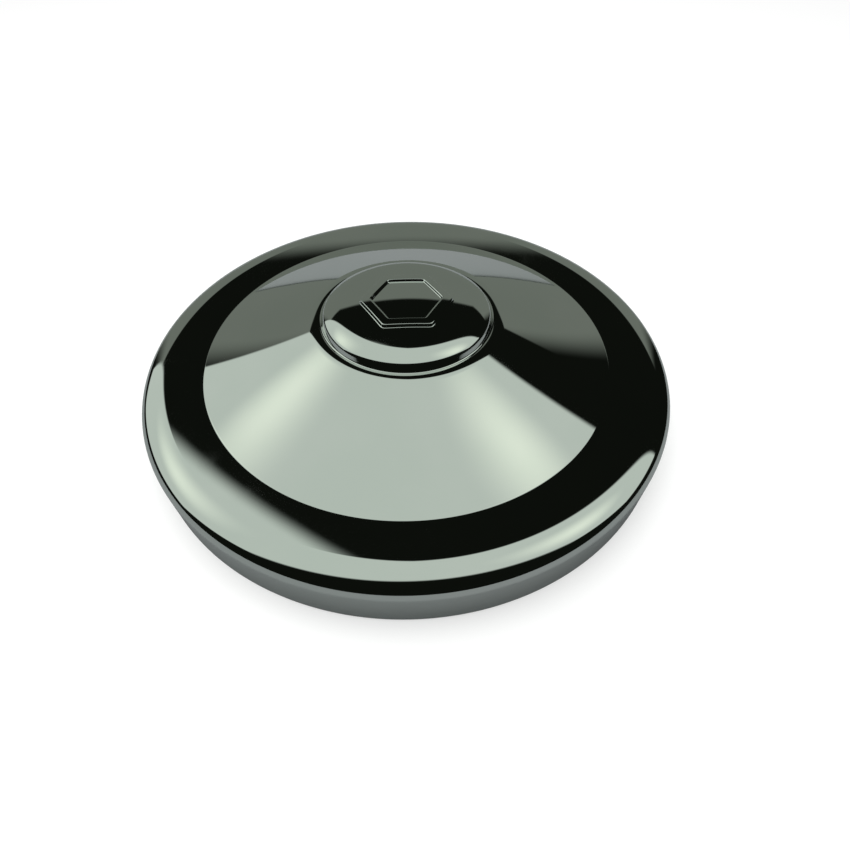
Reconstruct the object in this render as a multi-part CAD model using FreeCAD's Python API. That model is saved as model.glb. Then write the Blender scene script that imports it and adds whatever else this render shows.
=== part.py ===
import FreeCAD, Part
import math
import os

# Push-on wheel hub cap, millimetres, +Z up.
# Origin: centre of the circle the rim stands on. The bright face looks up.

# bright outer skin
SKIN_T = 0.8            # sheet
RIM_R = 125.0           # widest radius, vertical wall
WALL_TOP_Z = 17.8       # where the wall turns into the shoulder
SHOULDER_R1 = 5.6       # tight part of the shoulder, next to the wall
SHOULDER_R2 = 20.0      # easy part of the shoulder, next to the flat
SHOULDER_SPLIT = 24.0   # tilt of the surface where the two meet
RING_TILT = 2.8         # fall of the flat ring from the shoulder to the crease
CREASE_R = 96.6         # inner edge of the flat ring
CREASE_FILLET = 1.5
DOME_SLOPE = 21.0       # cone between the flat ring and the ledge
BOSS_R = 37.4           # boss, where its edge is tilted 34 degrees
BOSS_Z = 47.4
BOSS_TILT = 34.0
BOSS_WALL = 65.0        # steepest tilt of the boss side
BOSS_EDGE_R = 3.0       # rounding of the boss edge
BOSS_PILLOW_R = 21.0    # soft rounding inside the edge
BOSS_SPLIT = 30.0       # tilt where edge and pillow meet
BOSS_TOP_TILT = 9.0     # tilt where pillow and crown meet
BOSS_FOOT_R = 0.9       # hollow rounding where the boss meets the ledge
LEDGE_R = 10.0          # the cone rounds over into a narrow ledge round the boss
LEDGE_DIP = 8.0         # tilt of the ledge down towards the boss
HEM_UP = 7.0            # height of the folded-in leg of the rim hem
HEM_GAP = 0.06

# embossed plain hexagon on the boss
HEX_R_OUT = 22.0
HEX_R_IN = 15.4
HEX_RISE = 1.1
HEX_SIDE = 0.7          # metal left in the upright sides of the emboss

# pressed retaining ring
RING_T = 1.0
RING_Z = 14.0           # underside of the flat web
RING_BEND = 2.0         # inside bend radius
BORE_R = 103.0          # inner collar
COLLAR_TOP_Z = 21.5
WINDOW_W = 18.4
WINDOW_TOP_Z = 17.0

# spring clips
CLIPS = 4
LEAF_T = 0.6
LEAF_W = 16.0
FOOT_W = 24.0
FOOT_R_OUT = 119.5
HINGE_R = 109.6
NOSE_R = 103.7
NOSE_Z = 4.6
TIP_R = 105.6
TIP_Z = 1.7
FLEX_GAP = 0.05

# rivets, two in each clip foot
RIVET_R = 1.6
RIVET_FIT = 0.02
RIVET_HEAD_R = 3.1
RIVET_HEAD_H = 1.1
RIVET_AT_R = 115.0
RIVET_SIDE = 7.2

Z_AXIS = FreeCAD.Vector(0, 0, 1)
ORIGIN = FreeCAD.Vector(0, 0, 0)


def sin(deg):
    return math.sin(math.radians(deg))


def cos(deg):
    return math.cos(math.radians(deg))


def at(point):
    return FreeCAD.Vector(point[0], 0, point[1])


class Section:
    """Half section in the XZ plane, made of lines and tangent arcs."""

    def __init__(self, start):
        self.last = start
        self.edges = []

    def to(self, point):
        self.edges.append(Part.LineSegment(at(self.last), at(point)).toShape())
        self.last = point

    def arc(self, centre, radius, tilt_a, tilt_b, hollow=False):
        side = -radius if hollow else radius
        pts = []
        for tilt in (tilt_a, (tilt_a + tilt_b) / 2.0, tilt_b):
            pts.append((centre[0] + side * sin(tilt), centre[1] + side * cos(tilt)))
        if math.dist(self.last, pts[0]) > 1e-6:
            self.to(pts[0])
        self.edges.append(Part.Arc(at(pts[0]), at(pts[1]), at(pts[2])).toShape())
        self.last = pts[2]

    def face(self, start):
        if math.dist(self.last, start) > 1e-6:
            self.to(start)
        return Part.Face(Part.Wire(self.edges))


def spin(face):
    return face.revolve(ORIGIN, Z_AXIS, 360)


def skin_centres():
    """Arc centres of the outer surface; the inner surface shares them."""
    c = {}
    c["s1"] = (RIM_R - SHOULDER_R1, WALL_TOP_Z)
    step = SHOULDER_R1 - SHOULDER_R2
    c["s2"] = (c["s1"][0] + step * sin(SHOULDER_SPLIT), c["s1"][1] + step * cos(SHOULDER_SPLIT))
    # the ring runs straight down from the end of the shoulder to the crease
    run = c["s2"][0] - SHOULDER_R2 * sin(RING_TILT) - CREASE_R
    crease_z = c["s2"][1] + SHOULDER_R2 * cos(RING_TILT) - run * math.tan(math.radians(RING_TILT))
    lean = (DOME_SLOPE - RING_TILT) / 2.0
    reach = CREASE_FILLET / cos((DOME_SLOPE + RING_TILT) / 2.0)
    c["crease"] = (CREASE_R + reach * sin(lean), crease_z + reach * cos(lean))
    c["edge"] = (BOSS_R - BOSS_EDGE_R * sin(BOSS_TILT), BOSS_Z - BOSS_EDGE_R * cos(BOSS_TILT))
    step = BOSS_EDGE_R - BOSS_PILLOW_R
    c["pillow"] = (c["edge"][0] + step * sin(BOSS_SPLIT), c["edge"][1] + step * cos(BOSS_SPLIT))
    crown_r = BOSS_PILLOW_R + c["pillow"][0] / sin(BOSS_TOP_TILT)
    c["crown_r"] = crown_r
    c["crown"] = (0.0, c["pillow"][1] + (BOSS_PILLOW_R - crown_r) * cos(BOSS_TOP_TILT))
    # the boss side runs down until the ledge arc, reached through the foot arc, touches the cone
    side = BOSS_EDGE_R + BOSS_FOOT_R
    foot = (c["edge"][0] + side * sin(BOSS_WALL), c["edge"][1] + side * cos(BOSS_WALL))
    step = BOSS_FOOT_R + LEDGE_R
    ledge = (foot[0] + step * sin(LEDGE_DIP), foot[1] - step * cos(LEDGE_DIP))
    over = (ledge[0] - CREASE_R) * sin(DOME_SLOPE) + (ledge[1] - crease_z) * cos(DOME_SLOPE) + LEDGE_R
    slide = over / sin(BOSS_WALL - DOME_SLOPE)
    for name, point in (("foot", foot), ("ledge", ledge)):
        c[name] = (point[0] + slide * cos(BOSS_WALL), point[1] - slide * sin(BOSS_WALL))
    return c


def crown_section(lift, drop):
    """Section of a cap-shaped slice of the boss crown, lift above and drop below."""
    c = skin_centres()
    up = c["crown_r"] + lift
    low = c["crown_r"] - drop
    reach = math.degrees(math.asin((HEX_R_OUT + 2.0) / c["crown_r"]))
    sec = Section((low * sin(reach), c["crown"][1] + low * cos(reach)))
    start = sec.last
    sec.arc(c["crown"], up, reach, 0.0)
    sec.to((0.0, c["crown"][1] + low))
    sec.arc(c["crown"], low, 0.0, reach)
    return sec.face(start)


def hexagon_ring(r_out, r_in):
    rings = []
    for radius in (r_out, r_in):
        pts = []
        for k in range(7):
            pts.append(FreeCAD.Vector(radius * cos(60 * k), radius * sin(60 * k), 30))
        rings.append(Part.Face(Part.makePolygon(pts)).extrude(FreeCAD.Vector(0, 0, 40)))
    return rings[0].cut(rings[1])


def outer_skin():
    c = skin_centres()
    t = SKIN_T
    fold = RING_T / 2.0 + HEM_GAP
    hem = (RIM_R - t - fold, t + fold)
    leg_r = hem[0] - fold
    sec = Section((RIM_R, t + fold))
    start = sec.last
    # outer surface, from the wall up to the axis
    sec.arc(c["s1"], SHOULDER_R1, 90.0, SHOULDER_SPLIT)
    sec.arc(c["s2"], SHOULDER_R2, SHOULDER_SPLIT, -RING_TILT)
    sec.arc(c["crease"], CREASE_FILLET, -RING_TILT, DOME_SLOPE, hollow=True)
    sec.arc(c["ledge"], LEDGE_R, DOME_SLOPE, -LEDGE_DIP)
    sec.arc(c["foot"], BOSS_FOOT_R, -LEDGE_DIP, BOSS_WALL, hollow=True)
    sec.arc(c["edge"], BOSS_EDGE_R, BOSS_WALL, BOSS_SPLIT)
    sec.arc(c["pillow"], BOSS_PILLOW_R, BOSS_SPLIT, BOSS_TOP_TILT)
    sec.arc(c["crown"], c["crown_r"], BOSS_TOP_TILT, 0.0)
    # inner surface, back out to the wall
    sec.to((0.0, c["crown"][1] + c["crown_r"] - t))
    sec.arc(c["crown"], c["crown_r"] - t, 0.0, BOSS_TOP_TILT)
    sec.arc(c["pillow"], BOSS_PILLOW_R - t, BOSS_TOP_TILT, BOSS_SPLIT)
    sec.arc(c["edge"], BOSS_EDGE_R - t, BOSS_SPLIT, BOSS_WALL)
    sec.arc(c["foot"], BOSS_FOOT_R + t, BOSS_WALL, -LEDGE_DIP, hollow=True)
    sec.arc(c["ledge"], LEDGE_R - t, -LEDGE_DIP, DOME_SLOPE)
    sec.arc(c["crease"], CREASE_FILLET + t, DOME_SLOPE, -RING_TILT, hollow=True)
    sec.arc(c["s2"], SHOULDER_R2 - t, -RING_TILT, SHOULDER_SPLIT)
    sec.arc(c["s1"], SHOULDER_R1 - t, SHOULDER_SPLIT, 90.0)
    # hem: under the edge of the retaining ring and up behind it
    sec.arc(hem, fold, 90.0, 270.0)
    sec.to((leg_r, HEM_UP))
    sec.to((leg_r - t, HEM_UP))
    sec.arc(hem, fold + t, 270.0, 90.0)
    skin = spin(sec.face(start))
    # the emboss is pressed in the sheet: raised above, hollow below
    raised = hexagon_ring(HEX_R_OUT, HEX_R_IN).common(spin(crown_section(HEX_RISE, t / 2.0)))
    hollow = hexagon_ring(HEX_R_OUT - HEX_SIDE, HEX_R_IN + HEX_SIDE)
    hollow = hollow.common(spin(crown_section(HEX_RISE - t, t + 1.0)))
    return skin.fuse(raised).cut(hollow).removeSplitter()


def retaining_ring():
    t = RING_T
    out = RIM_R - SKIN_T - HEM_GAP
    top = RING_Z + t
    low = SKIN_T + 2 * HEM_GAP + t / 2.0
    b = RING_BEND
    sec = Section((out, low))
    start = sec.last
    sec.arc((out - t - b, RING_Z - b), b + t, 90.0, 0.0)
    sec.arc((BORE_R + t + b, top + b), b, 0.0, 90.0, hollow=True)
    sec.to((BORE_R + t, COLLAR_TOP_Z))
    sec.to((BORE_R, COLLAR_TOP_Z))
    sec.arc((BORE_R + t + b, top + b), b + t, 90.0, 0.0, hollow=True)
    sec.arc((out - t - b, RING_Z - b), b, 0.0, 90.0)
    sec.to((out - t, low))
    ring = spin(sec.face(start))
    for k in range(CLIPS):
        window = Part.makeBox(HINGE_R + 0.9 - 95.0, WINDOW_W, WINDOW_TOP_Z - 12.0)
        window.translate(FreeCAD.Vector(95.0, -WINDOW_W / 2.0, 12.0))
        ring = ring.cut(turn(window, k))
        for side in (-1, 1):
            hole = Part.makeCylinder(RIVET_R + RIVET_FIT, 6.0)
            hole.translate(FreeCAD.Vector(RIVET_AT_R, side * RIVET_SIDE, 12.0))
            ring = ring.cut(turn(hole, k))
    return ring


def turn(shape, k):
    """Place a shape built at +X at clip position k; clips sit between the axes."""
    return shape.rotated(ORIGIN, Z_AXIS, 45.0 + 360.0 / CLIPS * k)


def leaf_z():
    return RING_Z - LEAF_T / 2.0


def clip_foot():
    length = FOOT_R_OUT - HINGE_R
    foot = Part.makeBox(length, FOOT_W, LEAF_T)
    foot.translate(FreeCAD.Vector(HINGE_R, -FOOT_W / 2.0, RING_Z - LEAF_T))
    corners = [e for e in foot.Edges if abs(e.CenterOfMass.z - leaf_z()) < 0.01
               and e.CenterOfMass.x > FOOT_R_OUT - 0.1]
    foot = foot.makeFillet(3.0, corners)
    # the shoulders beside the leaf stay clear of the moving end
    for side in (-1, 1):
        notch = Part.makeBox(1.5, 10.0, 3.0)
        notch.translate(FreeCAD.Vector(HINGE_R - 0.5, side * (LEAF_W / 2.0 + 5.0) - 5.0, RING_Z - 2.0))
        foot = foot.cut(notch)
        hole = Part.makeCylinder(RIVET_R + RIVET_FIT, 6.0)
        hole.translate(FreeCAD.Vector(RIVET_AT_R, side * RIVET_SIDE, 10.0))
        foot = foot.cut(hole)
    seat = Part.makeCylinder(LEAF_T / 2.0 + FLEX_GAP, 40.0, FreeCAD.Vector(HINGE_R, -20, leaf_z()),
                             FreeCAD.Vector(0, 1, 0))
    return foot.cut(seat)


def clip_arm():
    """Leaf drawn as a centre line and thickened: over, down, in to the nose, out to the tip."""
    h = LEAF_T / 2.0
    z = leaf_z()
    bend = 1.6
    leg_r = HINGE_R - 0.9 - bend
    line = [(HINGE_R, z), (leg_r, z), (NOSE_R + h, NOSE_Z), (TIP_R + h, TIP_Z)]
    pts = [FreeCAD.Vector(p[0], -LEAF_W / 2.0, p[1]) for p in line]
    bars = None
    for a, b in zip(pts[:-1], pts[1:]):
        along = b.sub(a)
        bar = Part.makeBox(along.Length, LEAF_W, LEAF_T)
        bar.translate(FreeCAD.Vector(0, 0, -h))
        tilt = -math.degrees(math.atan2(along.z, along.x))
        bar.rotate(ORIGIN, FreeCAD.Vector(0, 1, 0), tilt)
        bar.translate(a)
        knee = Part.makeCylinder(h, LEAF_W, a, FreeCAD.Vector(0, 1, 0))
        bars = bar.fuse(knee) if bars is None else bars.fuse([bar, knee])
    tip = Part.makeCylinder(h, LEAF_W, pts[-1], FreeCAD.Vector(0, 1, 0))
    return bars.fuse(tip).removeSplitter()


def rivet():
    """Domed head under the foot, shank through both, flat closed head over the web."""
    low = RING_Z - LEAF_T
    top = RING_Z + RING_T
    ball = (RIVET_HEAD_R ** 2 + RIVET_HEAD_H ** 2) / (2.0 * RIVET_HEAD_H)
    lean = math.degrees(math.asin(RIVET_HEAD_R / ball))
    sec = Section((0.0, low - RIVET_HEAD_H))
    start = sec.last
    sec.arc((0.0, low - RIVET_HEAD_H + ball), ball, 180.0, 180.0 - lean)
    sec.to((RIVET_R, low))
    sec.to((RIVET_R, top))
    sec.to((RIVET_HEAD_R - 0.4, top))
    sec.to((RIVET_HEAD_R - 0.6, top + 0.7))
    sec.to((0.9, top + 0.7))
    sec.to((0.6, top + 0.2))
    sec.to((0.0, top + 0.2))
    return spin(sec.face(start))


def save(shape, node):
    shape.exportStep("parts/" + node + ".step")


os.makedirs("parts", exist_ok=True)
save(outer_skin(), "outer_skin")
save(retaining_ring(), "retaining_ring")
for n in range(CLIPS):
    save(turn(clip_foot(), n), "clip_foot_%d" % (n + 1))
    save(turn(clip_arm(), n), "clip_arm_%d" % (n + 1))
    for name, hand in (("a", -1), ("b", 1)):
        pin = rivet()
        pin.translate(FreeCAD.Vector(RIVET_AT_R, hand * RIVET_SIDE, 0))
        save(turn(pin, n), "rivet_%d%s" % (n + 1, name))
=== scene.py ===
import math

import bpy
import numpy as np
from mathutils import Matrix, Vector


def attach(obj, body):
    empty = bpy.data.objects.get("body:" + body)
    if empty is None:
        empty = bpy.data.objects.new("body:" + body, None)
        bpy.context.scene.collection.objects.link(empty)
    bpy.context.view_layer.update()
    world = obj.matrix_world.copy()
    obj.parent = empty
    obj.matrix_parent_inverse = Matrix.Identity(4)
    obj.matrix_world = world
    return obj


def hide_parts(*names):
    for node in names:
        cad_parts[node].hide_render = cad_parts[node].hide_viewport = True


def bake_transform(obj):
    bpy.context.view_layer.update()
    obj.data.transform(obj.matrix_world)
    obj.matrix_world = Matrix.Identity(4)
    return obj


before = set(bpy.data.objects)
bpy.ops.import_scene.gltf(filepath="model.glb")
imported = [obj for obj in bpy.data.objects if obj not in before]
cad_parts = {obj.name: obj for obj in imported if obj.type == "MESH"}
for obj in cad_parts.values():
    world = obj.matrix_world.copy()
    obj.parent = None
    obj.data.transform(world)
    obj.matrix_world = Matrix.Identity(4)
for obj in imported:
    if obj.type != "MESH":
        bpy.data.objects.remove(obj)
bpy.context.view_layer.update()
MM = 0.001
CLIPS = 4

# outer skin section, millimetres, as in the CAD model
SKIN_T = 0.8
RIM_R = 125.0
WALL_TOP_Z = 17.8
SHOULDER_R1, SHOULDER_R2, SHOULDER_SPLIT = 5.6, 20.0, 24.0
RING_TILT, CREASE_R, CREASE_FILLET, DOME_SLOPE = 2.8, 96.6, 1.5, 21.0
BOSS_R, BOSS_Z, BOSS_TILT, BOSS_WALL = 37.4, 47.4, 34.0, 65.0
BOSS_EDGE_R, BOSS_PILLOW_R, BOSS_SPLIT, BOSS_TOP_TILT = 3.0, 21.0, 30.0, 9.0
BOSS_FOOT_R, LEDGE_R, LEDGE_DIP = 0.9, 10.0, 8.0
HEM_UP, HEM_FOLD = 7.0, 0.56
HEX_R_OUT, HEX_R_IN, HEX_RISE = 22.0, 15.4, 1.1
HEX_DRAFT = 1.3          # width of the sloping side of the emboss
CIRCLE_WITHIN = 12.6     # rings of the mesh turn from hexagons into circles inside this radius
HEXAGON_TO = 20.0        # and start to turn into circles again outside this one
CIRCLE_FROM = 27.5       # beyond this radius they are plain circles
AROUND = 480             # mesh segments round the axis
HEM_FACE_RINGS = 4       # mesh rings added past the section before the plating ends, near the fold

# spring clips: one bent strip each, drawn in the clip's own upright plane as (distance from the axis, z)
CLIP_LINE = [(119.5, 13.7), (107.1, 13.7), (104.0, 4.6), (105.9, 1.7)]
CLIP_BENDS = [1.7, 1.8]
LEAF_T, LEAF_W, FOOT_W, TIP_W = 0.6, 16.0, 24.0, 14.0
FOOT_END = 8.6           # length of the wide foot along the strip
FOOT_BLEND = 1.6         # length over which the foot narrows to the leaf
TAPER_FROM = 14.0        # distance along the strip at which the leaf starts to narrow
FOOT_CORNER_R, TIP_CORNER_R = 3.0, 2.6
EDGE_R = 0.14            # broken edges of the strip

# studio: the overhead panel in its own heights above the object, the wall in its own distances behind it
PANEL_FRONT, PANEL_BACK, PANEL_LEFT, PANEL_RIGHT = 0.25, 0.52, 3.5, 2.2
PANEL_SLANT = 0.7        # how fast the panel's back edge runs backwards on the left
PANEL_EDGE = 0.03        # half the width of the panel's soft edge
WALL_HEIGHT, WALL_HALF = 0.73, 1.0


def sind(deg):
    return math.sin(math.radians(deg))


def cosd(deg):
    return math.cos(math.radians(deg))


def centres():
    """Arc centres of the skin's section and a few heights."""
    s1 = (RIM_R - SHOULDER_R1, WALL_TOP_Z)
    step = SHOULDER_R1 - SHOULDER_R2
    s2 = (s1[0] + step * sind(SHOULDER_SPLIT), s1[1] + step * cosd(SHOULDER_SPLIT))
    run = s2[0] - SHOULDER_R2 * sind(RING_TILT) - CREASE_R
    crease_z = s2[1] + SHOULDER_R2 * cosd(RING_TILT) - run * math.tan(math.radians(RING_TILT))
    lean = (DOME_SLOPE - RING_TILT) / 2
    reach = CREASE_FILLET / cosd((DOME_SLOPE + RING_TILT) / 2)
    crease = (CREASE_R + reach * sind(lean), crease_z + reach * cosd(lean))
    edge = (BOSS_R - BOSS_EDGE_R * sind(BOSS_TILT), BOSS_Z - BOSS_EDGE_R * cosd(BOSS_TILT))
    step = BOSS_EDGE_R - BOSS_PILLOW_R
    pillow = (edge[0] + step * sind(BOSS_SPLIT), edge[1] + step * cosd(BOSS_SPLIT))
    crown_r = BOSS_PILLOW_R + pillow[0] / sind(BOSS_TOP_TILT)
    crown_z = pillow[1] + (BOSS_PILLOW_R - crown_r) * cosd(BOSS_TOP_TILT)
    side = BOSS_EDGE_R + BOSS_FOOT_R
    foot = Vector((edge[0] + side * sind(BOSS_WALL), edge[1] + side * cosd(BOSS_WALL)))
    ledge = foot + Vector((sind(LEDGE_DIP), -cosd(LEDGE_DIP))) * (BOSS_FOOT_R + LEDGE_R)
    over = (ledge.x - CREASE_R) * sind(DOME_SLOPE) + (ledge.y - crease_z) * cosd(DOME_SLOPE) + LEDGE_R
    drop = Vector((cosd(BOSS_WALL), -sind(BOSS_WALL))) * (over / sind(BOSS_WALL - DOME_SLOPE))
    return {"s1": s1, "s2": s2, "crease": crease, "edge": edge, "pillow": pillow,
            "crown_r": crown_r, "crown_z": crown_z, "foot": tuple(foot + drop), "ledge": tuple(ledge + drop)}


SEC = centres()


def arc(points, centre, radius, tilt_a, tilt_b, step, hollow=False):
    """Adds (r, z, normal r, normal z) along an arc; normals point away from the sheet's outer side."""
    count = max(2, int(math.ceil(abs(tilt_b - tilt_a) / step)) + 1)
    side = -radius if hollow else radius
    for tilt in np.linspace(tilt_a, tilt_b, count):
        points.append((centre[0] + side * sind(tilt), centre[1] + side * cosd(tilt), sind(tilt), cosd(tilt)))


def fill(points, longest):
    """Splits long straight stretches so that no two rings are further apart than longest."""
    out = [points[0]]
    for b in points[1:]:
        a = out[-1]
        gap = math.hypot(b[0] - a[0], b[1] - a[1])
        parts = max(1, int(math.ceil(gap / longest)))
        for k in range(1, parts + 1):
            t = k / parts
            out.append(tuple(a[i] + (b[i] - a[i]) * t for i in range(4)))
    return out


def skin_rings(t):
    """Section from the edge of the boss crown out to the wall, offset inwards by t."""
    pts = []
    crown = (0.0, SEC["crown_z"])
    start = math.degrees(math.asin(CIRCLE_FROM / SEC["crown_r"]))
    arc(pts, crown, SEC["crown_r"] - t, start, BOSS_TOP_TILT, 0.5)
    arc(pts, SEC["pillow"], BOSS_PILLOW_R - t, BOSS_TOP_TILT, BOSS_SPLIT, 1.5)
    arc(pts, SEC["edge"], BOSS_EDGE_R - t, BOSS_SPLIT, BOSS_WALL, 3.0)
    arc(pts, SEC["foot"], BOSS_FOOT_R + t, BOSS_WALL, -LEDGE_DIP, 3.0, hollow=True)
    arc(pts, SEC["ledge"], LEDGE_R - t, -LEDGE_DIP, DOME_SLOPE, 1.5)
    arc(pts, SEC["crease"], CREASE_FILLET + t, DOME_SLOPE, -RING_TILT, 3.0, hollow=True)
    arc(pts, SEC["s2"], SHOULDER_R2 - t, -RING_TILT, SHOULDER_SPLIT, 1.5)
    arc(pts, SEC["s1"], SHOULDER_R1 - t, SHOULDER_SPLIT, 90.0, 3.0)
    return fill(pts, 4.0)


def hem_rings():
    """From the foot of the wall, round the fold, up the inner leg and back to the inside of the wall."""
    t = SKIN_T
    centre = (RIM_R - t - HEM_FOLD, t + HEM_FOLD)
    leg = centre[0] - HEM_FOLD
    pts = []
    arc(pts, centre, HEM_FOLD + t, 90.0, 270.0, 10.0)
    arc(pts, (leg - t / 2, HEM_UP - t / 2), t / 2, 270.0, 450.0, 20.0)
    inner = []
    arc(inner, centre, HEM_FOLD, 270.0, 90.0, 15.0)
    pts += [(r, z, -a, -b) for r, z, a, b in inner]
    return fill(pts, 4.0)


def smooth(x):
    x = np.clip(x, 0.0, 1.0)
    return x * x * x * (x * (6.0 * x - 15.0) + 10.0)


def hex_reach(x, y):
    """Distance to a hexagon's side through (x, y), with slightly rounded corners."""
    total = 0.0
    for k in range(6):
        total = total + np.maximum(x * cosd(30 + 60 * k) + y * sind(30 + 60 * k), 0.0) ** 36
    return total ** (1.0 / 36.0)


def crown_height(x, y, t):
    """Height of the boss crown and its embossed hexagon, offset down by t."""
    r2 = x * x + y * y
    z = SEC["crown_z"] + np.sqrt((SEC["crown_r"] - t) ** 2 - r2)
    s = hex_reach(x, y)
    flat_out, flat_in = HEX_R_OUT * cosd(30), HEX_R_IN * cosd(30)
    inset = 0.55 * t
    rise = smooth((flat_out - inset - s) / HEX_DRAFT) * smooth((s - flat_in - inset) / HEX_DRAFT)
    return z + HEX_RISE * rise


def crown_steps():
    """Ring positions, from the axis out, close together on the sides of the emboss."""
    flat_out, flat_in = HEX_R_OUT * cosd(30), HEX_R_IN * cosd(30)
    steps = [0.6, 2.0, 4.0, 6.0, 8.0, 10.0, 11.5, CIRCLE_WITHIN]
    steps += list(np.linspace(flat_in - 0.1, flat_in + HEX_DRAFT + 0.6, 17))
    steps += list(np.linspace(flat_in + HEX_DRAFT + 1.0, flat_out - HEX_DRAFT - 1.0, 4))
    steps += list(np.linspace(flat_out - HEX_DRAFT - 0.6, flat_out + 0.1, 17))
    steps += [19.5, 20.2, 21.2, 22.4, 23.7, 25.0, 26.3]
    return steps


def crown_rings(t):
    """Rings of points (n, 3) and normals (n, 3) over the crown; they follow the hexagon near it."""
    ang = np.arange(AROUND) * 2 * math.pi / AROUND
    ux, uy = np.cos(ang), np.sin(ang)
    hexed = 1.0 / hex_reach(ux, uy)
    rings = []
    d = 0.01
    for s in crown_steps():
        w = smooth((s - HEXAGON_TO) / (CIRCLE_FROM - HEXAGON_TO))
        inner = smooth((CIRCLE_WITHIN - s) / 10.0)
        w = max(w, inner)
        r = s * ((1 - w) * hexed + w)
        x, y = r * ux, r * uy
        z = crown_height(x, y, t)
        gx = (crown_height(x + d, y, t) - crown_height(x - d, y, t)) / (2 * d)
        gy = (crown_height(x, y + d, t) - crown_height(x, y - d, t)) / (2 * d)
        n = np.stack([-gx, -gy, np.ones_like(gx)], 1)
        n /= np.linalg.norm(n, axis=1)[:, None]
        rings.append((np.stack([x, y, z], 1), n))
    return rings


def spun(points):
    """Rings for a section given as (r, z, normal r, normal z)."""
    ang = np.arange(AROUND) * 2 * math.pi / AROUND
    c, s = np.cos(ang), np.sin(ang)
    rings = []
    for r, z, nr, nz in points:
        co = np.stack([r * c, r * s, np.full(AROUND, z)], 1)
        no = np.stack([nr * c, nr * s, np.full(AROUND, nz)], 1)
        rings.append((co, no))
    return rings


def mesh_object(name, verts, faces, normals=None):
    mesh = bpy.data.meshes.new(name)
    mesh.from_pydata([tuple(v) for v in verts], [], faces)
    mesh.update()
    for poly in mesh.polygons:
        poly.use_smooth = True
    if normals is not None:
        mesh.normals_split_custom_set_from_vertices([tuple(n) for n in normals])
    obj = bpy.data.objects.new(name, mesh)
    bpy.context.collection.objects.link(obj)
    return obj


def skin():
    """One closed sheet: crown, section, hem, and back along the inside to the axis."""
    outer = crown_rings(0.0) + spun(skin_rings(0.0))
    inner = crown_rings(SKIN_T) + spun(skin_rings(SKIN_T))
    inner = [(co, -no) for co, no in reversed(inner)]
    rings = outer + spun(hem_rings()) + inner
    keep = [rings[0]]
    for ring in rings[1:]:
        if np.abs(ring[0] - keep[-1][0]).max() > 1e-4:
            keep.append(ring)
    verts = [(0, 0, SEC["crown_z"] + SEC["crown_r"])]
    normals = [(0, 0, 1)]
    for co, no in keep:
        verts += [tuple(v) for v in co]
        normals += [tuple(v) for v in no]
    verts.append((0, 0, SEC["crown_z"] + SEC["crown_r"] - SKIN_T))
    normals.append((0, 0, -1))
    verts = [(x * MM, y * MM, z * MM) for x, y, z in verts]
    faces = []
    n = AROUND
    for j in range(n):
        faces.append((0, 1 + j, 1 + (j + 1) % n))
    for i in range(len(keep) - 1):
        a, b = 1 + i * n, 1 + (i + 1) * n
        for j in range(n):
            k = (j + 1) % n
            faces.append((a + j, b + j, b + k, a + k))
    last = 1 + (len(keep) - 1) * n
    for j in range(n):
        faces.append((last + j, len(verts) - 1, last + (j + 1) % n))
    obj = mesh_object("skin_pressing", verts, faces, normals)
    inside = obj.data.attributes.new("inside", "FLOAT", "POINT")
    first = 1 + n * (len(outer) + HEM_FACE_RINGS)
    inside.data.foreach_set("value", [0.0 if i < first else 1.0 for i in range(len(verts))])
    return obj


def bent_line(line, radii):
    """Points along a line with rounded corners, as (r, z, direction r, direction z)."""
    out = []
    start = Vector(line[0])
    for here, ahead, radius in zip(line[1:-1], line[2:], radii):
        here, ahead = Vector(here), Vector(ahead)
        d0, d1 = (here - start).normalized(), (ahead - here).normalized()
        turn = d0.angle_signed(d1)
        cut = radius * math.tan(abs(turn) / 2)
        out += straight(start if not out else out[-1][:2], here - d0 * cut, d0)
        side = Vector((d0.y, -d0.x)) * math.copysign(1, turn)
        centre = here - d0 * cut + side * radius
        for k in range(1, 13):
            a = turn * k / 12
            spoke = Matrix.Rotation(-a, 2) @ (-side)
            d = Matrix.Rotation(-a, 2) @ d0
            out.append((*(centre + spoke * radius), *d))
        start = here
    out += straight(out[-1][:2], Vector(line[-1]), d1)
    return out


def straight(a, b, d, step=0.2):
    a, b = Vector(a), Vector(b)
    count = max(1, int(math.ceil((b - a).length / step)))
    return [(*(a.lerp(b, k / count)), *d) for k in range(count + 1)]


def rounding(s, radius):
    """How much narrower the strip is at distance s from an end with rounded corners."""
    gap = radius - min(max(s, 0.0), radius)
    return radius - math.sqrt(radius * radius - gap * gap)


def strip_half(s, total):
    """Half width of the clip strip at distance s from the outer end of its foot."""
    leaf = LEAF_W / 2 + (TIP_W - LEAF_W) / 2 * float(smooth((s - TAPER_FROM) / (total - TAPER_FROM)))
    foot = (FOOT_W - LEAF_W) / 2 * (1.0 - float(smooth((s - FOOT_END + FOOT_BLEND / 2) / FOOT_BLEND)))
    return leaf + foot - rounding(s, FOOT_CORNER_R) - rounding(total - s, TIP_CORNER_R)


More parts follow.
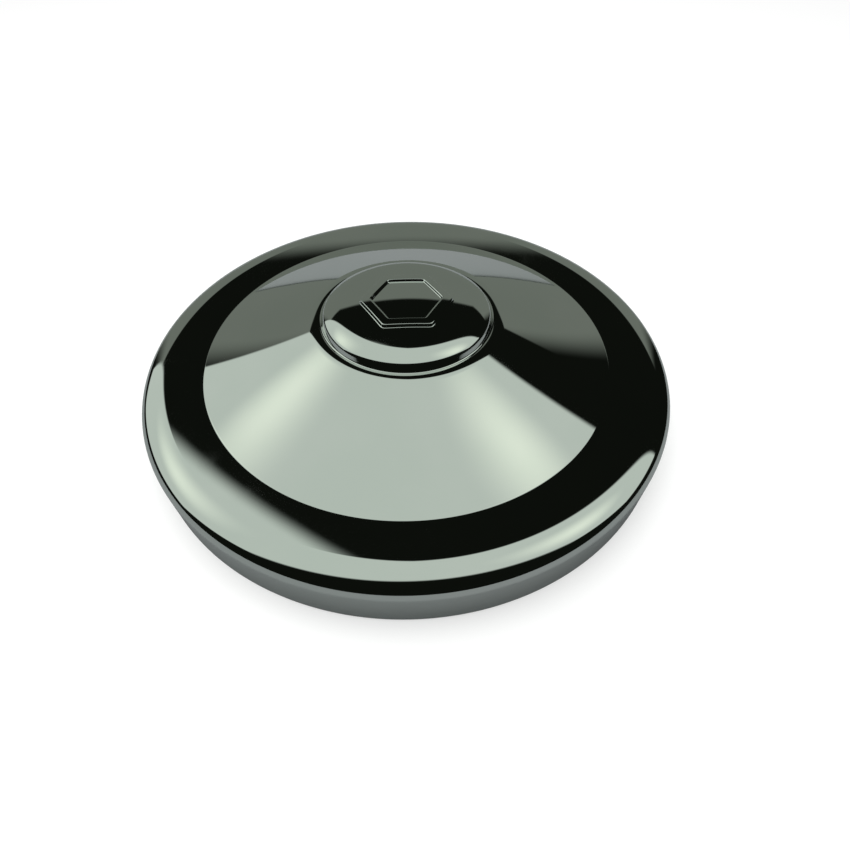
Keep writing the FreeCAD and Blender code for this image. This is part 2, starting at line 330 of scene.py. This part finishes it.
def clip_strip(number):
    """Foot and leaf of one clip as a single bent strip with broken edges."""
    a = 45.0 + 360.0 / CLIPS * (number - 1)
    out, across = Vector((cosd(a), sind(a), 0)), Vector((-sind(a), cosd(a), 0))
    path = bent_line(CLIP_LINE, CLIP_BENDS)
    lengths = [0.0]
    for p, q in zip(path[:-1], path[1:]):
        lengths.append(lengths[-1] + math.dist(p[:2], q[:2]))
    keep = [i for i in range(len(path)) if i == 0 or lengths[i] - lengths[i - 1] > 1e-4]
    total = lengths[-1]
    verts, normals, faces = [], [], []
    corners = [(1, 1), (-1, 1), (-1, -1), (1, -1)]
    spokes = [(90 * q + 30 * k, corners[q]) for q in range(4) for k in range(4)]
    ring = len(spokes)
    stations = [(lengths[i], path[i], 0.0) for i in keep]
    stations[0] = (stations[0][0], stations[0][1], EDGE_R)
    stations[-1] = (stations[-1][0], stations[-1][1], EDGE_R)
    for s, (r, z, dr, dz), inset in stations:
        place = out * r + Vector((0, 0, z))
        along = out * dr + Vector((0, 0, dz))
        up = across.cross(along)
        half = strip_half(s, total)
        for angle, (sv, su) in spokes:
            nv, nu = cosd(angle), sind(angle)
            v = sv * (half - EDGE_R) + nv * (EDGE_R - inset)
            u = su * (LEAF_T / 2 - EDGE_R) + nu * (EDGE_R - inset)
            verts.append((place + across * v + up * u) * MM)
            end = along * (-1 if s == 0.0 else 1)
            normals.append(end if inset else across * nv + up * nu)
    for i in range(len(stations) - 1):
        for j in range(ring):
            k = (j + 1) % ring
            faces.append((i * ring + j, (i + 1) * ring + j, (i + 1) * ring + k, i * ring + k))
    faces.append(tuple(range(ring)))
    faces.append(tuple(reversed(range(len(verts) - ring, len(verts)))))
    strip = mesh_object("clip_strip_%d" % number, verts, faces, normals)
    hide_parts("clip_foot_%d" % number, "clip_arm_%d" % number)
    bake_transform(strip)
    return strip


# ---------------------------------------------------------------- materials

class Nodes:
    """Short hand for building a node tree."""

    def __init__(self, tree):
        self.tree = tree
        tree.nodes.clear()

    def new(self, kind, **values):
        node = self.tree.nodes.new(kind)
        for key, value in values.items():
            setattr(node, key, value)
        return node

    def link(self, a, b):
        self.tree.links.new(a, b)

    def put(self, socket, value):
        if isinstance(value, bpy.types.NodeSocket):
            self.link(value, socket)
        else:
            socket.default_value = value

    def math(self, op, a, b=None, c=None):
        node = self.new("ShaderNodeMath", operation=op)
        for i, value in enumerate((a, b, c)):
            if value is not None:
                self.put(node.inputs[i], value)
        return node.outputs[0]

    def ramp(self, value, low, high, out_low=0.0, out_high=1.0):
        node = self.new("ShaderNodeMapRange", interpolation_type="SMOOTHSTEP")
        self.put(node.inputs["Value"], value)
        self.put(node.inputs["From Min"], low)
        self.put(node.inputs["From Max"], high)
        self.put(node.inputs["To Min"], out_low)
        self.put(node.inputs["To Max"], out_high)
        return node.outputs["Result"]

    def mix(self, factor, a, b):
        node = self.new("ShaderNodeMix", data_type="RGBA")
        self.put(node.inputs[0], factor)
        self.put(node.inputs[6], a)
        self.put(node.inputs[7], b)
        return node.outputs[2]

    def noise(self, vector, scale, detail=3.0, rough=0.5, distort=0.0):
        node = self.new("ShaderNodeTexNoise")
        self.link(vector, node.inputs["Vector"])
        node.inputs["Scale"].default_value = scale
        node.inputs["Detail"].default_value = detail
        node.inputs["Roughness"].default_value = rough
        node.inputs["Distortion"].default_value = distort
        return node.outputs["Fac"]


def material(name):
    mat = bpy.data.materials.new(name)
    mat.use_nodes = True
    n = Nodes(mat.node_tree)
    out = n.new("ShaderNodeOutputMaterial")
    bsdf = n.new("ShaderNodeBsdfPrincipled")
    n.link(bsdf.outputs[0], out.inputs[0])
    coord = n.new("ShaderNodeTexCoord").outputs["Object"]
    return mat, n, bsdf, coord


def round_lines(n, coord, pitch):
    """Noise coordinates drawn out round the axis; pitch is lines per metre across them."""
    sep = n.new("ShaderNodeSeparateXYZ")
    n.link(coord, sep.inputs[0])
    x, y, z = sep.outputs
    radius = n.math("SQRT", n.math("ADD", n.math("MULTIPLY", x, x), n.math("MULTIPLY", y, y)))
    line = n.new("ShaderNodeCombineXYZ")
    n.put(line.inputs[0], n.math("MULTIPLY", n.math("DIVIDE", x, radius), 3.0))
    n.put(line.inputs[1], n.math("MULTIPLY", n.math("DIVIDE", y, radius), 3.0))
    n.put(line.inputs[2], n.math("MULTIPLY", n.math("ADD", radius, z), pitch))
    return line.outputs[0]


def add_bump(n, bsdf, height):
    """Relief, height in metres."""
    bump = n.new("ShaderNodeBump")
    bump.inputs["Strength"].default_value = 1.0
    bump.inputs["Distance"].default_value = 1.0
    n.link(height, bump.inputs["Height"])
    n.link(bump.outputs[0], bsdf.inputs["Normal"])


def chrome():
    """Mirror plating outside; the inside of the pressing is the dull drawn sheet."""
    mat, n, bsdf, coord = material("bright_chrome")
    bsdf.inputs["Metallic"].default_value = 1.0
    lines = round_lines(n, coord, 2600.0)
    inside = n.new("ShaderNodeAttribute", attribute_name="inside").outputs["Fac"]
    cloud = n.noise(coord, 22.0, 3.0)
    plated = n.mix(n.ramp(cloud, 0.35, 0.7), (0.715, 0.745, 0.715, 1), (0.745, 0.765, 0.74, 1))
    dull = n.ramp(n.noise(coord, 70.0, 4.0, 0.6), 0.3, 0.7)
    drawn = n.mix(dull, (0.40, 0.40, 0.39, 1), (0.55, 0.55, 0.53, 1))
    n.link(n.mix(inside, plated, drawn), bsdf.inputs["Base Color"])
    # wiping haze and fine hairlines, both faint
    haze = n.ramp(n.noise(coord, 46.0, 4.0, 0.6, 0.6), 0.5, 0.78)
    hair = n.ramp(n.noise(lines, 1.0, 2.0), 0.62, 0.8)
    rough = n.math("ADD", n.math("MULTIPLY", haze, 0.03), n.math("MULTIPLY", hair, 0.015))
    rough = n.math("ADD", rough, n.math("MULTIPLY_ADD", inside, 0.25, 0.025))
    n.link(rough, bsdf.inputs["Roughness"])
    # polishing waviness, about a hundredth of a millimetre deep
    wave = n.noise(coord, 30.0, 1.0)
    fine = n.noise(lines, 0.35, 2.0)
    depth = n.math("ADD", n.math("MULTIPLY", wave, 0.000012), n.math("MULTIPLY", fine, 0.0000002))
    add_bump(n, bsdf, depth)
    return mat


def zinc():
    mat, n, bsdf, coord = material("zinc_plate")
    bsdf.inputs["Metallic"].default_value = 1.0
    patch = n.noise(coord, 60.0, 4.0, 0.6)
    grime = n.ramp(n.noise(coord, 18.0, 5.0, 0.62), 0.45, 0.75)
    base = n.mix(n.ramp(patch, 0.3, 0.7), (0.52, 0.53, 0.52, 1), (0.66, 0.67, 0.65, 1))
    base = n.mix(n.math("MULTIPLY", grime, 0.5), base, (0.34, 0.33, 0.30, 1))
    n.link(base, bsdf.inputs["Base Color"])
    n.link(n.math("ADD", n.math("MULTIPLY", patch, 0.16), n.math("MULTIPLY_ADD", grime, 0.12, 0.24)),
           bsdf.inputs["Roughness"])
    add_bump(n, bsdf, n.math("MULTIPLY", n.noise(coord, 900.0, 3.0, 0.6), 0.00003))
    return mat


def spring_steel():
    mat, n, bsdf, coord = material("spring_steel")
    bsdf.inputs["Metallic"].default_value = 1.0
    patch = n.noise(coord, 140.0, 4.0, 0.6)
    edge = n.new("ShaderNodeNewGeometry").outputs["Pointiness"]
    worn = n.ramp(edge, 0.5, 0.56)
    base = n.mix(n.ramp(patch, 0.3, 0.7), (0.13, 0.125, 0.13, 1), (0.22, 0.21, 0.20, 1))
    base = n.mix(n.math("MULTIPLY", worn, 0.6), base, (0.5, 0.49, 0.47, 1))
    n.link(base, bsdf.inputs["Base Color"])
    n.link(n.math("MULTIPLY_ADD", patch, 0.2, 0.22), bsdf.inputs["Roughness"])
    add_bump(n, bsdf, n.math("MULTIPLY", n.noise(coord, 1500.0, 3.0, 0.6), 0.000015))
    return mat


def rivet_steel():
    mat, n, bsdf, coord = material("rivet_steel")
    bsdf.inputs["Metallic"].default_value = 1.0
    patch = n.noise(coord, 420.0, 4.0, 0.6)
    base = n.mix(n.ramp(patch, 0.35, 0.7), (0.36, 0.36, 0.35, 1), (0.58, 0.58, 0.56, 1))
    n.link(base, bsdf.inputs["Base Color"])
    n.link(n.math("MULTIPLY_ADD", patch, 0.25, 0.2), bsdf.inputs["Roughness"])
    add_bump(n, bsdf, n.math("MULTIPLY", n.noise(coord, 1300.0, 3.0, 0.6), 0.00003))
    return mat


def set_material(obj, mat):
    obj.data.materials.clear()
    obj.data.materials.append(mat)


# ---------------------------------------------------------------- studio

def floor():
    """Large pale sheet. The metal mirrors a greyer one than the camera sees, which is nearly white: that
    grey is painted shade in what the metal mirrors. For the camera the sheet also partly glows, painted
    light that lightens the shadows on it.
    """
    half = 6.0
    corners = [(-half, -half, 0), (half, -half, 0), (half, half, 0), (-half, half, 0)]
    obj = mesh_object("studio_floor", corners, [(0, 1, 2, 3)])
    mat = bpy.data.materials.new("studio_floor")
    mat.use_nodes = True
    n = Nodes(mat.node_tree)
    out = n.new("ShaderNodeOutputMaterial")
    bsdf = n.new("ShaderNodeBsdfDiffuse")
    pale = n.new("ShaderNodeEmission")
    pale.inputs["Color"].default_value = (0.97, 0.97, 0.97, 1)
    # painted light: an emission mixed over the lit sheet for camera rays, so its shadows look lighter
    shadow_lift_glow = n.new("ShaderNodeMixShader")
    n.link(bsdf.outputs[0], shadow_lift_glow.inputs[1])
    n.link(pale.outputs[0], shadow_lift_glow.inputs[2])
    n.link(shadow_lift_glow.outputs[0], out.inputs[0])
    place = n.new("ShaderNodeTexCoord").outputs["Object"]
    span = n.new("ShaderNodeVectorMath", operation="LENGTH")
    n.link(place, span.inputs[0])
    path = n.new("ShaderNodeLightPath")
    # reflections see a grey copy of the sheet, which is painted shade; the camera sees it nearly white
    white_and_mirrored_shade_tone = n.mix(path.outputs["Is Camera Ray"], (0.20, 0.212, 0.215, 1), (0.92, 0.92, 0.92, 1))
    n.link(white_and_mirrored_shade_tone, bsdf.inputs["Color"])
    # the glow is about half near the object, painted light that lightens its shadow there, and grows to full
    # far from it, where the sheet fades into the white behind it, so no horizon shows
    share = n.ramp(span.outputs["Value"], 0.3, 1.2, 0.55, 1.0)
    n.link(n.math("MULTIPLY", path.outputs["Is Camera Ray"], share), shadow_lift_glow.inputs[0])
    obj.data.materials.append(mat)


def patch(n, right, behind, at, half):
    """Soft patch of light centred at a place on the panel: 1 in the middle, 0 at half widths from it."""
    dx = n.math("DIVIDE", n.math("SUBTRACT", right, at[0]), half[0])
    dy = n.math("DIVIDE", n.math("SUBTRACT", behind, at[1]), half[1])
    gap = n.math("SQRT", n.math("ADD", n.math("MULTIPLY", dx, dx), n.math("MULTIPLY", dy, dy)))
    return n.ramp(gap, 1.0, 0.0)


def within(n, value, low, high, soft):
    """1 between low and high and 0 outside, with edges that fade over soft to either side."""
    return n.math("MULTIPLY", n.ramp(value, low - soft, low + soft), n.ramp(value, high + soft, high - soft))


def room():
    """Plain studio that the chrome mirrors: a broad soft panel overhead, a grey wall behind, the rest unlit.
    The camera sees white. Places on the panel are measured in heights of the panel."""
    world = bpy.data.worlds.new("studio_room")
    bpy.context.scene.world = world
    world.use_nodes = True
    n = Nodes(world.node_tree)
    out = n.new("ShaderNodeOutputWorld")
    back = n.new("ShaderNodeBackground")
    n.link(back.outputs[0], out.inputs[0])
    sep = n.new("ShaderNodeSeparateXYZ")
    n.link(n.new("ShaderNodeTexCoord").outputs["Generated"], sep.inputs[0])
    x, y, z = sep.outputs

    # panel: its back edge runs further back on the left, and two lamps behind it make soft bright patches
    up = n.math("MAXIMUM", z, 0.001)
    right = n.math("DIVIDE", x, up)
    behind = n.math("DIVIDE", y, up)
    left_reach = n.math("MULTIPLY", n.math("MINIMUM", right, 0.0), PANEL_SLANT)
    back_edge = n.ramp(n.math("ADD", behind, left_reach), PANEL_BACK + PANEL_EDGE, PANEL_BACK - PANEL_EDGE)
    front_edge = n.ramp(behind, -PANEL_FRONT - PANEL_EDGE, -PANEL_FRONT + PANEL_EDGE)
    depth = n.math("MULTIPLY", front_edge, back_edge)
    panel = n.math("MULTIPLY", depth, within(n, right, -PANEL_LEFT, PANEL_RIGHT, 0.2))
    lamps = n.math("ADD", patch(n, right, behind, (-0.95, 0.5), (0.6, 0.5)),
                   patch(n, right, behind, (0.62, 0.08), (0.45, 0.3)))
    light = n.mix(lamps, (0.59, 0.655, 0.60, 1), (0.92, 1.0, 0.87, 1))

    # wall: an upright plane behind the object
    away = n.math("MAXIMUM", y, 0.001)
    height = n.math("DIVIDE", z, away)
    wall = n.math("MULTIPLY", n.ramp(height, WALL_HEIGHT + 0.02, WALL_HEIGHT - 0.02),
                  within(n, n.math("DIVIDE", x, away), -WALL_HALF, WALL_HALF, 0.15))
    colour = n.mix(wall, (0.005, 0.006, 0.0045, 1), (0.17, 0.19, 0.165, 1))
    colour = n.mix(panel, colour, light)
    path = n.new("ShaderNodeLightPath")
    seen = n.mix(path.outputs["Is Camera Ray"], colour, (0.97, 0.97, 0.97, 1))
    n.link(seen, back.inputs["Color"])


def fill_light():
    """Big soft lamp overhead that lights the floor and the dull parts but is not mirrored."""
    data = bpy.data.lights.new("studio_softbox", "AREA")
    data.shape = "DISK"
    data.size = 4.0
    data.energy = 130.0
    obj = bpy.data.objects.new("studio_softbox", data)
    place = Vector((-0.3, 0.4, 2.6))
    obj.location = place
    obj.rotation_euler = place.to_track_quat("Z", "Y").to_euler()
    obj.visible_glossy = False
    obj.visible_camera = False
    bpy.context.collection.objects.link(obj)


def camera():
    """Close-up view from 45 degrees above the front."""
    reach, rise = 0.275, math.radians(45.0)
    roll, yaw, pitch = math.radians(1.52), math.radians(1.76), math.radians(4.78)
    place = Vector((0.0, -reach * math.cos(rise), reach * math.sin(rise)))
    forward = -place.normalized()
    right = Vector((1, 0, 0))
    base = Matrix((right, right.cross(forward), -forward))
    tilt = Matrix.Rotation(pitch, 3, "X") @ Matrix.Rotation(yaw, 3, "Y") @ Matrix.Rotation(roll, 3, "Z")
    data = bpy.data.cameras.new("camera")
    data.sensor_width = 36.0
    data.lens = 22.07
    data.clip_start = 0.005
    obj = bpy.data.objects.new("camera", data)
    obj.matrix_world = Matrix.Translation(place) @ (tilt @ base).transposed().to_4x4()
    bpy.context.collection.objects.link(obj)
    bpy.context.scene.camera = obj


camera()
CHROME = chrome()
cap = skin()
set_material(cap, CHROME)
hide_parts("outer_skin")
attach(cap, "cap")

set_material(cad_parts["retaining_ring"], zinc())
SPRING = spring_steel()
RIVET = rivet_steel()
for k in range(1, CLIPS + 1):
    set_material(clip_strip(k), SPRING)
    for side in "ab":
        set_material(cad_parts["rivet_%d%s" % (k, side)], RIVET)

floor()
room()
fill_light()
bpy.context.scene.view_settings.view_transform = "Standard"

bpy.context.view_layer.update()
